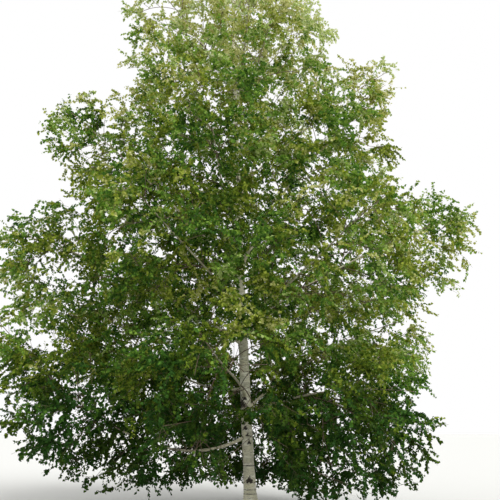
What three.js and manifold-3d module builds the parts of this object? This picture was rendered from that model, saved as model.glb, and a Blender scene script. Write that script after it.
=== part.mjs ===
// A silver birch in full leaf, rooted in the ground, as an assembly of its trunk, its boughs and its masses
// of foliage. Millimetres, +Z up. Seen from its usual side, +X is to the right and +Y is away from the eye.
// The origin is the middle of the flat cut under the trunk, at ground level.
import * as THREE from "three";
import { mergeVertices } from "three/addons/utils/BufferGeometryUtils.js";
import Module from "manifold-3d";

const wasm = await Module();
wasm.setup();

// Trunk: height of the flat tip, where the topmost mass begins, and the taper up to it.
const TRUNK_TOP = 13700;
const TRUNK_RADIUS = 122;
const TAPER_HEIGHT = 15200;
const TAPER_POWER = 0.9;
// The trunk starts a little to the right and leans left, less so the higher it gets.
const FOOT_OFFSET = 20;
const LEAN = 0.052;
const LEAN_EASE = 1.2e-6;
const SWAY = 60;
const SWAY_LENGTH = 9000;
// Root flare: how far the foot spreads, how fast that dies away, and its buttresses.
const FLARE = 95;
const FLARE_HEIGHT = 230;
const BUTTRESSES = 5;
const BUTTRESS_DEPTH = 0.4;
const TRUNK_SIDES = 16;
const TRUNK_RINGS = 13;
const RING_CROWDING = 2.1;

// Boughs: radius at the trunk grows with the reach, and falls to a share of itself at the tip.
const BOUGH_RADIUS = 14;
const BOUGH_RADIUS_PER_REACH = 0.004;
const TIP_SHARE = 0.16;
const BOUGH_SIDES = 5;
const BOUGH_RINGS = 4;
const BOUGH_CONTROL = 0.42;
const WANDER = 0.022;
const FORK_SPREAD = 0.35;

// Masses of foliage: how far leaves stand past the limb's end, how far they hang below it, and the share of
// the limb's bend that they follow.
const OVERHANG = 330;
const HANG = 0.2;
const BEND_SHARE = 0.1;
const STEM_SIDES = 4;
const STEM_RINGS = 3;
const BRANCH_REACH = 0.6;
const BRANCH_RADIUS = 16;
const BRANCH_TIP_RADIUS = 8;
const BRANCH_RINGS = 2;
const LATE_START = 0.55;
const GOLDEN_ANGLE = Math.PI * (3 - Math.sqrt(5));

// Each flat blade stands for a spray of leaves, its root sunk to the middle of its twig.
const SPRAY_PLACES = [0.7];
const STEM_SPRAY_PLACES = [0.55, 0.95];
const SPRAY_LENGTH = [300, 1180];
const SPRAY_STEP = 40;
const SPRAY_WIDTH = 0.72;
const SPRAY_THICKNESS = 0.028;
const SPRAY_WIDEST = 0.45;
const SPRAY_ROOT = 6;
const SPRAY_DROOP = 0.3;
const SPRAY_FAN = 0.8;
const WIDE_OF_TRIANGLE = Math.sin(Math.PI / 3);

// The foot of the trunk shows from the front: nothing hangs before it below a height, which falls towards
// the eye. Nor do leaves hang near the ground.
const WINDOW_HALF = 220;
const WINDOW_TOP = 3450;
const WINDOW_SLOPE = 0.12;
const GROUND_CLEARANCE = 450;

// Clearances: between touching solids, round limbs, and between the spaces of two masses.
const GAP = 0.3;
const LIMB_CLEARANCE = 75;
const SPACE_MARGIN = 0.035;

const BARK = { color: 0xcfcabb, roughness: 0.75, metalness: 0 };
const BOUGH_BARK = { color: 0x9c927d, roughness: 0.85, metalness: 0 };
const FOLIAGE = { color: 0x5c7f2c, roughness: 0.6, metalness: 0 };

// The crown, tier by tier from the ground up. fork is the lowest and highest place on the trunk that the
// tier's limbs leave from. On each side, reach is how far out the leaves get, tip is how high the limb's end
// is, and arch lifts the limb's middle, or lets it hang. stagger raises every other limb's end and lowers the
// rest. bare is the share of the limb with no leaves, across and deep are the half width and half depth of
// each mass, and branches is how many leave its stem.
const TIERS = [
  {
    name: "skirt",
    count: 6,
    turn: 20,
    fork: [1500, 2600],
    reach: { right: 4250, back: 4500, left: 5600, front: 4300 },
    tip: { right: 3500, back: 3000, left: 4700, front: 2300 },
    stagger: 750,
    arch: { right: 450, back: 450, left: -2500, front: 450 },
    bare: 0.13,
    across: 2050,
    deep: 1850,
    branches: 7,
  },
  {
    name: "lower",
    count: 6,
    turn: 0,
    fork: [3300, 4200],
    reach: { right: 5450, back: 5000, left: 5550, front: 4900 },
    tip: { right: 6150, back: 5700, left: 6100, front: 5500 },
    stagger: 200,
    arch: { right: 330, back: 330, left: 330, front: 330 },
    bare: 0.14,
    across: 1950,
    deep: 1720,
    branches: 8,
  },
  {
    name: "middle",
    count: 6,
    turn: 15,
    fork: [4800, 5700],
    reach: { right: 3900, back: 4200, left: 4400, front: 4200 },
    tip: { right: 7900, back: 8000, left: 8700, front: 7800 },
    stagger: 150,
    arch: { right: 260, back: 260, left: 260, front: 260 },
    bare: 0.14,
    across: 1650,
    deep: 1600,
    branches: 7,
  },
  {
    name: "upper",
    count: 5,
    turn: 0,
    fork: [6400, 7400],
    reach: { right: 3950, back: 3250, left: 2650, front: 3250 },
    tip: { right: 9700, back: 10150, left: 10400, front: 10150 },
    stagger: 100,
    arch: { right: 200, back: 200, left: 200, front: 200 },
    bare: 0.14,
    across: 1500,
    deep: 1300,
    branches: 6,
  },
  {
    name: "high",
    count: 4,
    turn: 20,
    fork: [8700, 9500],
    reach: { right: 2600, back: 2400, left: 2850, front: 2400 },
    tip: { right: 11900, back: 12100, left: 12250, front: 12100 },
    stagger: 100,
    arch: { right: 120, back: 120, left: 120, front: 120 },
    bare: 0.16,
    across: 1250,
    deep: 1120,
    branches: 6,
  },
  {
    name: "crest",
    count: 3,
    turn: 80,
    fork: [10900, 11500],
    reach: { right: 1600, back: 1500, left: 1650, front: 1500 },
    tip: { right: 13700, back: 13800, left: 13850, front: 13800 },
    stagger: 0,
    arch: { right: 60, back: 60, left: 60, front: 60 },
    bare: 0,
    across: 950,
    deep: 880,
    branches: 5,
  },
];
const SUMMIT = { name: "summit", key: 900, tip: 15000, across: 780, deep: 780, branches: 6, sink: 250 };

// A number from 0 to 1 drawn by two whole numbers, the same each time.
function draw(key, n) {
  let h = Math.imul((key + 1) ^ Math.imul(n + 1, 0x9e3779b1), 0x85ebca6b) >>> 0;
  h = Math.imul(h ^ (h >>> 13), 0xc2b2ae35) >>> 0;
  return ((h ^ (h >>> 16)) >>> 0) / 4294967296;
}

const vec = (x, y, z) => new THREE.Vector3(x, y, z);
const along = (p, d, s) => p.clone().addScaledVector(d, s);

// The middle of the trunk at a height.
function trunkAxis(h) {
  return vec(FOOT_OFFSET - LEAN * h + LEAN_EASE * h * h, SWAY * Math.sin((2 * Math.PI * h) / SWAY_LENGTH), h);
}

// The trunk's radius at a height and an angle round it: a steady taper and, at the foot, the buttresses.
function trunkRadius(h, angle) {
  const taper = TRUNK_RADIUS * Math.pow(1 - h / TAPER_HEIGHT, TAPER_POWER);
  const spread = FLARE * Math.exp(-h / FLARE_HEIGHT);
  return taper + spread * (1 + BUTTRESS_DEPTH * Math.cos(BUTTRESSES * angle + 1));
}

// A closed geometry with shared corners, as a solid.
function solidOf(geometry) {
  const bare = geometry.clone();
  bare.deleteAttribute("normal");
  bare.deleteAttribute("uv");
  const merged = mergeVertices(bare, 1e-3);
  return new wasm.Manifold(
    new wasm.Mesh({
      numProp: 3,
      vertProperties: new Float32Array(merged.attributes.position.array),
      triVerts: new Uint32Array(merged.index.array),
    }),
  );
}

// A solid as a named mesh.
function meshOf(name, solid, look) {
  const made = solid.getMesh();
  const geometry = new THREE.BufferGeometry();
  geometry.setAttribute("position", new THREE.BufferAttribute(new Float32Array(made.vertProperties), 3));
  geometry.setIndex(new THREE.BufferAttribute(new Uint32Array(made.triVerts), 1));
  geometry.computeVertexNormals();
  const mesh = new THREE.Mesh(geometry, new THREE.MeshStandardMaterial(look));
  mesh.name = name;
  return mesh;
}

// The trunk as a stack of level rings, so that the cut at the ground and the tip are flat. The rings crowd
// towards the ground, where the flare bends most. extra widens it all round.
function trunkSolid(extra) {
  const g = new THREE.CylinderGeometry(1, 1, 1, TRUNK_SIDES, TRUNK_RINGS);
  const p = g.attributes.position;
  for (let i = 0; i < p.count; i++) {
    const up = p.getY(i) + 0.5;
    const h = TRUNK_TOP * Math.pow(up, RING_CROWDING);
    const out = Math.hypot(p.getX(i), p.getZ(i));
    const angle = Math.atan2(-p.getZ(i), p.getX(i));
    const r = out < 0.5 ? 0 : trunkRadius(h, angle) + extra;
    const c = trunkAxis(h);
    p.setXYZ(i, c.x + r * Math.cos(angle), c.y + r * Math.sin(angle), h + (up > 0.999 ? extra : 0));
  }
  return solidOf(g);
}

// A body with a few sides through stations in a row: each has its middle p, the way ahead, and how wide and
// thick its section is. side is the direction of the width. It comes to a point where the last one has none.
function loftSolid(stations, side, sides) {
  const last = stations.length - 1;
  const g = new THREE.CylinderGeometry(stations[last].wide > 0 ? 1 : 0, 1, 1, sides, last);
  const q = g.attributes.position;
  for (let i = 0; i < q.count; i++) {
    const { p, ahead, wide, thick } = stations[Math.round((q.getY(i) + 0.5) * last)];
    const s = along(side, ahead, -side.dot(ahead)).normalize();
    const n = s.clone().cross(ahead);
    const out = Math.hypot(q.getX(i), q.getZ(i)) || 1;
    const c = along(along(p, s, (wide * q.getX(i)) / out), n, (thick * q.getZ(i)) / out);
    q.setXYZ(i, c.x, c.y, c.z);
  }
  return solidOf(g);
}

// Evenly spaced stations along a limb from t0 to t1.
function limbStations(limb, t0, t1, rings) {
  return Array.from({ length: rings + 1 }, (_, i) => {
    const t = t0 + ((t1 - t0) * i) / rings;
    const r = limb.radius(t);
    const ahead = limb.path(t + 1e-3).sub(limb.path(t - 1e-3)).normalize();
    return { p: limb.path(t), ahead, wide: r, thick: r };
  });
}

// The place, the way ahead and the radius at a share of the way along stations, on the straights between.
function pointOn(stations, share) {
  const at = Math.min(share * (stations.length - 1), stations.length - 1.001);
  const i = Math.floor(at);
  return stations[i].p.clone().lerp(stations[i + 1].p, at - i);
}
function aheadOn(stations, share) {
  const at = Math.min(share * (stations.length - 1), stations.length - 1.001);
  const i = Math.floor(at);
  return stations[i + 1].p.clone().sub(stations[i].p).normalize();
}
function radiusOn(stations, share) {
  const at = Math.min(share * (stations.length - 1), stations.length - 1.001);
  const i = Math.floor(at);
  return stations[i].wide + (stations[i + 1].wide - stations[i].wide) * (at - i);
}

// A measure given for four sides, read at an angle round the trunk.
function onSide(sides, angle) {
  const c = Math.cos(angle);
  const s = Math.sin(angle);
  return c * c * (c > 0 ? sides.right : sides.left) + s * s * (s > 0 ? sides.back : sides.front);
}

// A limb from the trunk to the far end of its mass: a curve of three points that wanders a little. Every
// other limb leaves the trunk higher than the rest of its tier.
function limbOf(tier, tierIndex, i) {
  const key = 100 * tierIndex + i;
  const angle = THREE.MathUtils.degToRad(tier.turn + (360 * i) / tier.count + 8 * (draw(key, 1) - 0.5));
  const out = vec(Math.cos(angle), Math.sin(angle), 0);
  const side = vec(-Math.sin(angle), Math.cos(angle), 0);
  const high = i % 2 === 0;
  const place = (((i * FORK_SPREAD + draw(key, 0) * 0.2) % 1) + (high ? 1 : 0)) / 2;
  const fork = tier.fork[0] + (tier.fork[1] - tier.fork[0]) * place;
  const reach = onSide(tier.reach, angle) * (0.97 + 0.06 * draw(key, 2)) - OVERHANG;
  const level = onSide(tier.tip, angle) + 0.04 * reach * (draw(key, 3) - 0.5);
  const tip = level + (high ? tier.stagger : -tier.stagger);
  const start = trunkAxis(fork);
  const end = along(start, out, reach);
  end.z = tip;
  const bend = along(start, out, reach * BOUGH_CONTROL);
  bend.z = fork + (tip - fork) * 0.5 + onSide(tier.arch, angle);
  const curve = new THREE.QuadraticBezierCurve3(start, bend, end);
  const phase = 2 * Math.PI * draw(key, 4);
  const path = (t) => {
    const sway = WANDER * reach * (Math.sin(phase + 5 * t) - Math.sin(phase)) * Math.min(1, 3 * t);
    return along(curve.getPoint(Math.max(0, t)), side, sway);
  };
  const thick = BOUGH_RADIUS + BOUGH_RADIUS_PER_REACH * reach;
  const radius = (t) => thick * (1 - (1 - TIP_SHARE) * Math.pow(Math.max(0, t), 0.8));
  return { key, path, radius, side, bare: tier.bare };
}

// The space of a mass: an egg of three half widths round its limb's leafy part, and a little below it.
function spaceOf(limb, across, deep) {
  const near = limb.path(limb.bare);
  const far = limb.path(1);
  const outward = far.clone().sub(near);
  const half = outward.length() / 2 + OVERHANG / 2;
  outward.normalize();
  const centre = near.clone().lerp(far, 0.5).lerp(limb.path((1 + limb.bare) / 2), BEND_SHARE);
  centre.addScaledVector(outward, OVERHANG / 2);
  const up = outward.clone().cross(limb.side).normalize();
  centre.z -= HANG * deep * (1 - Math.abs(outward.z));
  return { centre, axes: [outward, limb.side, up], half: [half, across, deep] };
}

// How far out of a mass's space a point is: under 1 inside it.
function outness(space, p) {
  const d = p.clone().sub(space.centre);
  return Math.hypot(...space.axes.map((a, i) => d.dot(a) / space.half[i]));
}

// Every limb of the crown in order, each with its mass's space.
const crown = [];
TIERS.forEach((tier, tierIndex) => {
  for (let i = 0; i < tier.count; i++) {
    const limb = limbOf(tier, tierIndex, i);
    const space = spaceOf(limb, tier.across, tier.deep);
    crown.push({ name: `${tier.name}_${i + 1}`, limb, space, branches: tier.branches });
  }
});

// The summit's limb carries on from the flat tip of the trunk.
function summitLimb() {
  const start = trunkAxis(TRUNK_TOP);
  const lean = trunkAxis(TRUNK_TOP).sub(trunkAxis(TRUNK_TOP - 500)).normalize();
  const path = (t) => along(start, lean, t * (SUMMIT.tip - TRUNK_TOP));
  const radius = (t) => trunkRadius(TRUNK_TOP, 0) * (1 - 0.6 * t);
  return { key: SUMMIT.key, path, radius, side: vec(0, 1, 0), bare: 0 };
}
const top = summitLimb();
const topSpace = spaceOf(top, SUMMIT.across, SUMMIT.deep);
topSpace.centre.z -= SUMMIT.sink;
crown.push({ name: SUMMIT.name, limb: top, space: topSpace, branches: SUMMIT.branches });

// Points along every limb and up the trunk, with the radius there, for keeping leaves off them.
const LIMB_SAMPLES = 40;
const limbSamples = crown.flatMap(({ limb }, owner) =>
  Array.from({ length: LIMB_SAMPLES }, (_, k) => {
    const t = (k + 0.5) / LIMB_SAMPLES;
    return { owner, t, p: limb.path(t), r: limb.radius(t), bough: t < limb.bare };
  }),
);
const TRUNK_SAMPLES = 200;
for (let k = 0; k < TRUNK_SAMPLES; k++) {
  const h = ((k + 0.5) / TRUNK_SAMPLES) * TRUNK_TOP;
  limbSamples.push({ owner: -1, p: trunkAxis(h), r: trunkRadius(h, 0), bough: true });
}

// True if a point hangs before the foot of the trunk.
function hidesFoot(p) {
  const aside = Math.abs(p.x - trunkAxis(p.z).x);
  return p.y < 0 && aside < WINDOW_HALF && p.z < WINDOW_TOP + WINDOW_SLOPE * p.y;
}

// True if a point keeps to mass m's own space, off the ground, and clear of each limb that isn't its stem.
function isFree(m, p) {
  const mine = outness(crown[m].space, p);
  if (mine > 1 || p.z < GROUND_CLEARANCE || hidesFoot(p)) return false;
  if (crown.some(({ space }, k) => k !== m && outness(space, p) < mine + SPACE_MARGIN)) return false;
  return limbSamples.every((s) => {
    if (s.owner === m && !s.bough) return true;
    return s.p.distanceTo(p) > s.r + LIMB_CLEARANCE;
  });
}

// Where the branches of a mass end: spread evenly over an inner egg, by the golden angle.
function branchTargets(m) {
  const { space, limb, branches } = crown[m];
  const turn = 2 * Math.PI * draw(limb.key, 10);
  return Array.from({ length: branches }, (_, k) => {
    const level = 1 - (2 * k + 1) / branches;
    const round = Math.sqrt(1 - level * level);
    const a = turn + k * GOLDEN_ANGLE;
    const way = [level, round * Math.cos(a), round * Math.sin(a)];
    const p = space.centre.clone();
    space.axes.forEach((axis, i) => p.addScaledVector(axis, way[i] * space.half[i] * BRANCH_REACH));
    return p;
  });
}

// The branch from the stem to a target: it leaves the stem short of the target, and bows upwards.
function branchCurve(m, stem, target) {
  const { limb } = crown[m];
  const reach = limb.path(0).distanceTo(limb.path(1));
  let best = 0;
  let nearest = Infinity;
  for (let share = 0.04; share <= 0.95; share += 0.02) {
    const p = pointOn(stem, share);
    const d = p.distanceTo(target) + LATE_START * share * reach * (1 - limb.bare);
    if (d < nearest) [nearest, best] = [d, share];
  }
  const start = pointOn(stem, best);
  const ahead = aheadOn(stem, best);
  const far = start.distanceTo(target);
  const bend = start.clone().lerp(target, 0.45).addScaledVector(ahead, 0.14 * far);
  bend.z += 0.12 * far;
  const curve = new THREE.QuadraticBezierCurve3(start, bend, target);
  return { curve, stemRadius: radiusOn(stem, best) };
}

// A spray that starts at p on its twig and grows along ahead, leaning out of the mass, down, and to one side
// by turn. It is as long as the mass's space allows. Returns its stations, or null where nothing fits.
function sprayStations(m, p, ahead, turn, rootRadius, n) {
  const { space, limb } = crown[m];
  const outward = p.clone().sub(space.centre).normalize();
  const way = ahead.clone().multiplyScalar(0.7).addScaledVector(outward, 0.8);
  way.z -= SPRAY_DROOP;
  way.normalize();
  const wide = vec(0, 0, 1).cross(way);
  if (wide.length() < 0.2) wide.copy(limb.side);
  wide.normalize();
  way.addScaledVector(wide, turn * SPRAY_FAN).normalize();
  wide.addScaledVector(way, -wide.dot(way)).normalize();
  wide.applyAxisAngle(way, 1.6 * (draw(limb.key, 40 + n) - 0.5));
  for (let length = SPRAY_LENGTH[1]; length >= SPRAY_LENGTH[0]; length -= SPRAY_STEP) {
    const half = (length * SPRAY_WIDTH) / 2;
    const middle = along(p, way, length * SPRAY_WIDEST);
    const tip = along(p, way, length);
    const corners = [tip, along(middle, wide, half), along(middle, wide, -half), along(p, way, 0.7 * length)];
    if (corners.every((c) => isFree(m, c)))
      return {
        wide,
        stations: [
          { p, ahead: way, wide: rootRadius, thick: rootRadius },
          { p: middle, ahead: way, wide: half / WIDE_OF_TRIANGLE, thick: (length * SPRAY_THICKNESS) / 1.5 },
          { p: tip, ahead: way, wide: 0, thick: 0 },
        ],
      };
  }
  return null;
}

// One mass: its stem, its branches with a spray at each tip, and the sprays at their sides, in one body.
function massSolid(m, trunkSpace) {
  const { limb } = crown[m];
  const stem = limbStations(limb, limb.bare, 1, STEM_RINGS);
  const shift = stem[0].ahead.clone().multiplyScalar(GAP);
  stem.forEach((station) => station.p.add(shift));
  let solid = loftSolid(stem, limb.side, STEM_SIDES);
  let n = 0;
  const addSpray = (stations, share, turn) => {
    const p = pointOn(stations, share);
    const root = Math.min(SPRAY_ROOT, 0.42 * radiusOn(stations, share));
    const spray = sprayStations(m, p, aheadOn(stations, share), turn, root, n++);
    if (spray) solid = solid.add(loftSolid(spray.stations, spray.wide, 3));
  };
  branchTargets(m).forEach((target, k) => {
    const { curve, stemRadius } = branchCurve(m, stem, target);
    let end = 1;
    const clear = () => [end, end - 0.15, end - 0.3].every((t) => isFree(m, curve.getPoint(t)));
    while (end > 0.45 && !clear()) end -= 0.05;
    if (end <= 0.45) return;
    const foot = Math.min(BRANCH_RADIUS, 0.62 * stemRadius);
    const twig = Array.from({ length: BRANCH_RINGS + 1 }, (_, i) => {
      const t = (end * i) / BRANCH_RINGS;
      const r = foot + ((BRANCH_TIP_RADIUS - foot) * i) / BRANCH_RINGS;
      return { p: curve.getPoint(t), ahead: curve.getTangent(t), wide: r, thick: r };
    });
    const tipSpray = sprayStations(m, twig.at(-1).p, twig.at(-1).ahead, 0, BRANCH_TIP_RADIUS, n++);
    if (!tipSpray) return;
    solid = solid.add(loftSolid([...twig, ...tipSpray.stations.slice(1)], tipSpray.wide, 3));
    const way = k % 2 ? -1 : 1;
    SPRAY_PLACES.forEach((share, j) => addSpray(twig, share, j % 2 ? -way : way));
  });
  STEM_SPRAY_PLACES.forEach((share, j) => addSpray(stem, share, j % 2 ? -1 : 1));
  return largest(limb.bare === 0 ? solid.subtract(trunkSpace) : solid);
}

// A bough from the trunk's bark to where its mass begins, its foot cut to the trunk's face.
function boughSolid(limb, trunkSpace) {
  const whole = loftSolid(limbStations(limb, 0, limb.bare, BOUGH_RINGS), limb.side, BOUGH_SIDES);
  return largest(whole.subtract(trunkSpace));
}

// The largest of the separate bodies in a solid.
function largest(solid) {
  return solid.decompose().reduce((a, b) => (b.volume() > a.volume() ? b : a));
}

const tree = new THREE.Group();
tree.name = "silver_birch";
const trunkSpace = trunkSolid(GAP);
tree.add(meshOf("trunk", trunkSolid(0), BARK));
crown.forEach(({ name, limb }, m) => {
  if (limb.bare > 0) tree.add(meshOf(`bough_${name}`, boughSolid(limb, trunkSpace), BOUGH_BARK));
  tree.add(meshOf(`leaves_${name}`, massSolid(m, trunkSpace), FOLIAGE));
});

export default tree;
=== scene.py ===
import bpy
import numpy as np
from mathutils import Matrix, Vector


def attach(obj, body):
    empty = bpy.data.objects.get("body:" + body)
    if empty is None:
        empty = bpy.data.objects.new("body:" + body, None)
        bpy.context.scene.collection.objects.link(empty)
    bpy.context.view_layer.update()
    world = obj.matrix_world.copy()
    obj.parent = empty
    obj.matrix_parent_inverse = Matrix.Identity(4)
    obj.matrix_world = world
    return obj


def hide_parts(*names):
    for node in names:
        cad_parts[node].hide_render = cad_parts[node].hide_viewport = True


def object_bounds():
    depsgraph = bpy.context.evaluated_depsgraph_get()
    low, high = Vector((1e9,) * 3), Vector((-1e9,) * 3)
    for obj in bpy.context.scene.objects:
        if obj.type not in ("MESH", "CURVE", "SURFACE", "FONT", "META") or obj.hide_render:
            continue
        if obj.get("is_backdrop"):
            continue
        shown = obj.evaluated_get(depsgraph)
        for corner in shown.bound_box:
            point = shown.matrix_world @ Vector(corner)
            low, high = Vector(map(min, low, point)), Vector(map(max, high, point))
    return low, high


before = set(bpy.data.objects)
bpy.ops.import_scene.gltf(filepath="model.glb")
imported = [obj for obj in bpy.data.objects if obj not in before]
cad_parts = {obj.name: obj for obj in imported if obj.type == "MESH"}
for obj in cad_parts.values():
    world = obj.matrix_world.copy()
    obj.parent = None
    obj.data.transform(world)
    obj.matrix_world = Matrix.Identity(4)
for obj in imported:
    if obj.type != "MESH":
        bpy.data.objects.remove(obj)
solids_low, solids_high = (np.array(corner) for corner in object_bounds())
scene = bpy.context.scene


# Viewpoint. A standing adult's eye on level ground, 14 m in front of the trunk and tilted up, so that the
# frame starts just above the foot and the tree's top passes its upper edge.
EYE = (0.0, -14.0, 1.6)
TILT_UP = np.radians(15.7)
FOCAL_PIXELS = 651
FRAME_PIXELS = 500
SENSOR = 36.0
FARTHEST = 3000.0

lens = bpy.data.cameras.new("eye")
lens.sensor_width = SENSOR
lens.lens = SENSOR * FOCAL_PIXELS / FRAME_PIXELS
lens.clip_end = FARTHEST
camera = bpy.data.objects.new("eye", lens)
camera.location = EYE
camera.rotation_euler = (np.pi / 2 + TILT_UP, 0, 0)
scene.collection.objects.link(camera)
scene.camera = camera


# Floor and light. The floor is a plain pale sheet, and the light is that of a bright overcast day: a white
# sky all round, and one very wide lamp, high in front on the right, that gives the crown a soft lit side.
FLOOR_HALF = 900.0
FLOOR_COLOUR = (0.55, 0.55, 0.53)
FLOOR_ROUGHNESS = 0.9
SKY_COLOUR = (1.0, 1.0, 1.0)
SKY_STRENGTH = 1.0
LAMP_STRENGTH = 3.4
LAMP_WIDTH = np.radians(35)
LAMP_TURN = (np.radians(36), np.radians(30), 0)


def lay_mesh(name, points, triangles):
    """A mesh of points (n x 3) joined by triangles (m x 3 point numbers)."""
    mesh = bpy.data.meshes.new(name)
    mesh.vertices.add(len(points))
    mesh.vertices.foreach_set("co", np.asarray(points, np.float32).ravel())
    mesh.loops.add(triangles.size)
    mesh.loops.foreach_set("vertex_index", np.asarray(triangles, np.int32).ravel())
    mesh.polygons.add(len(triangles))
    mesh.polygons.foreach_set("loop_start", np.arange(0, triangles.size, 3, dtype=np.int32))
    mesh.update(calc_edges=True)
    piece = bpy.data.objects.new(name, mesh)
    scene.collection.objects.link(piece)
    return piece


def new_finish(name):
    """A material, its node tree and its shader."""
    finish = bpy.data.materials.new(name)
    finish.use_nodes = True
    return finish, finish.node_tree, finish.node_tree.nodes["Principled BSDF"]


def plain_finish(name, colour, roughness):
    """A material of one colour."""
    finish, _, shader = new_finish(name)
    shader.inputs["Base Color"].default_value = (*colour, 1)
    shader.inputs["Roughness"].default_value = roughness
    return finish


corners = np.array([(-1, -1, 0), (1, -1, 0), (1, 1, 0), (-1, 1, 0)]) * FLOOR_HALF
floor = lay_mesh("floor", corners, np.array([(0, 1, 2), (0, 2, 3)]))
floor.data.materials.append(plain_finish("pale_floor", FLOOR_COLOUR, FLOOR_ROUGHNESS))
floor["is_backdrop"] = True

sky = bpy.data.worlds.new("overcast_sky")
sky.use_nodes = True
background = sky.node_tree.nodes["Background"]
background.inputs["Color"].default_value = (*SKY_COLOUR, 1)
background.inputs["Strength"].default_value = SKY_STRENGTH
scene.world = sky
scene.view_settings.view_transform = "Standard"

lamp_data = bpy.data.lights.new("bright_cloud", "SUN")
lamp_data.energy = LAMP_STRENGTH
lamp_data.angle = LAMP_WIDTH
lamp = bpy.data.objects.new("bright_cloud", lamp_data)
lamp.rotation_euler = LAMP_TURN
scene.collection.objects.link(lamp)


# Trunk. One slim stem of birch wood that leans a little left, flares into low buttresses at the flat cut at
# ground level, and thins to the tip of the crown. Its bark is papery and cream white, with short dark
# lenticels lying across it, and a rough dark arrowhead over each place where a bough leaves or once left.
TRUNK_TOP = 13.7
TRUNK_RADIUS = 0.122
TAPER_HEIGHT = 15.2
TAPER_POWER = 0.9
FOOT_OFFSET = 0.02
LEAN = 0.052
LEAN_EASE = 0.0012
SWAY = 0.06
SWAY_LENGTH = 9.0
FLARE = 0.095
FLARE_HEIGHT = 0.23
BUTTRESSES = 5
BUTTRESS_DEPTH = 0.4
TRUNK_SIDES = 72
FINE_TOP = 4.0
FINE_STEP = 0.008
COARSE_STEP = 0.035


def trunk_axis(height):
    """The middle of the trunk: it starts to the right, leans left in proportion to the height but less so
    the higher it gets, and sways in depth as a sine of the height."""
    height = np.asarray(height, float)
    x = FOOT_OFFSET - LEAN * height + LEAN_EASE * height**2
    return np.stack([x, SWAY * np.sin(2 * np.pi * height / SWAY_LENGTH), height], -1)


def trunk_radius(height, angle):
    """A taper by a power of the height that is left, and a spread at the foot that dies away with height and
    swells at each buttress as a cosine of the angle."""
    left = np.clip(1 - height / TAPER_HEIGHT, 0, 1)
    spread = FLARE * np.exp(-height / FLARE_HEIGHT)
    return TRUNK_RADIUS * left**TAPER_POWER + spread * (1 + BUTTRESS_DEPTH * np.cos(BUTTRESSES * angle + 1))


WAVES = 8
WAVE_CROWDING = (0.75, 1.35)


def ripple(points, wavelength, seed):
    """A smooth irregular value about 1 high at each point: plane waves of nearly one wavelength, which run
    in seeded directions with seeded phases, added and divided by the root of half their number."""
    rng = np.random.default_rng(seed)
    ways = rng.normal(size=(WAVES, 3))
    ways *= 2 * np.pi / wavelength / np.linalg.norm(ways, axis=1, keepdims=True)
    ways *= rng.uniform(*WAVE_CROWDING, (WAVES, 1))
    return np.sin(points @ ways.T + rng.uniform(0, 2 * np.pi, WAVES)).sum(-1) / np.sqrt(WAVES / 2)


# The crown's plan, tier by tier from the ground up. fork is the lowest and highest place on the trunk that
# its limbs leave from. stagger raises every other limb's end and lowers the rest, and bare is the limb's
# share with no leaves. To the right, at the back, on the left and in front, reach is how far out the leaves
# get, tip is how high the limb's end is, and arch lifts the limb's middle, or lets it hang. across and deep
# are the half width and half depth of each mass of foliage, and branches is how many its stem has.
TIERS = [
    dict(name="skirt", count=6, turn=20, fork=(1.5, 2.6), stagger=0.75, bare=0.13,
         reach=(4.25, 4.5, 5.6, 4.3), tip=(3.5, 3.0, 4.7, 2.3), arch=(0.45, 0.45, -2.5, 0.45),
         across=2.05, deep=1.85, branches=7),
    dict(name="lower", count=6, turn=0, fork=(3.3, 4.2), stagger=0.2, bare=0.14,
         reach=(5.45, 5.0, 5.55, 4.9), tip=(6.15, 5.7, 6.1, 5.5), arch=(0.33, 0.33, 0.33, 0.33),
         across=1.95, deep=1.72, branches=8),
    dict(name="middle", count=6, turn=15, fork=(4.8, 5.7), stagger=0.15, bare=0.14,
         reach=(3.9, 4.2, 4.4, 4.2), tip=(7.9, 8.0, 8.7, 7.8), arch=(0.26, 0.26, 0.26, 0.26),
         across=1.65, deep=1.6, branches=7),
    dict(name="upper", count=5, turn=0, fork=(6.4, 7.4), stagger=0.1, bare=0.14,
         reach=(3.95, 3.25, 2.65, 3.25), tip=(9.7, 10.15, 10.4, 10.15), arch=(0.2, 0.2, 0.2, 0.2),
         across=1.5, deep=1.3, branches=6),
    dict(name="high", count=4, turn=20, fork=(8.7, 9.5), stagger=0.1, bare=0.16,
         reach=(2.6, 2.4, 2.85, 2.4), tip=(11.9, 12.1, 12.25, 12.1), arch=(0.12, 0.12, 0.12, 0.12),
         across=1.25, deep=1.12, branches=6),
    dict(name="crest", count=3, turn=80, fork=(10.9, 11.5), stagger=0.0, bare=0.0,
         reach=(1.6, 1.5, 1.65, 1.5), tip=(13.7, 13.8, 13.85, 13.8), arch=(0.06, 0.06, 0.06, 0.06),
         across=0.95, deep=0.88, branches=5),
]
SUMMIT = dict(name="summit", key=900, tip=15.0, across=0.78, deep=0.78, branches=6, sink=0.25)
BOUGH_RADIUS = 0.014
BOUGH_RADIUS_PER_REACH = 0.004
TIP_SHARE = 0.16
BOUGH_CONTROL = 0.42
WANDER = 0.022
FORK_SPREAD = 0.35
OVERHANG = 0.33
HANG = 0.2
BEND_SHARE = 0.1
WANDER_ANGLE = 5
WANDER_EASE = 3
LIMB_TAPER_POWER = 0.8
LEADER_STEP = 0.5

# Chance turns a limb by some degrees, and moves its fork, its reach and the height of its end by shares.
TURN_CHANCE = 8
FORK_CHANCE = 0.2
REACH_LEAST = 0.97
REACH_CHANCE = 0.06
TIP_CHANCE = 0.04
KEYS_PER_TIER = 100

WORD = np.uint64(0xFFFFFFFF)
LARGE_ODD = [np.uint64(number) for number in (0x9E3779B1, 0x85EBCA6B, 0xC2B2AE35)]
FOLDS = (np.uint64(13), np.uint64(16))
SPAN = 2.0**32
NEARLY_NOTHING = 1e-12


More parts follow.
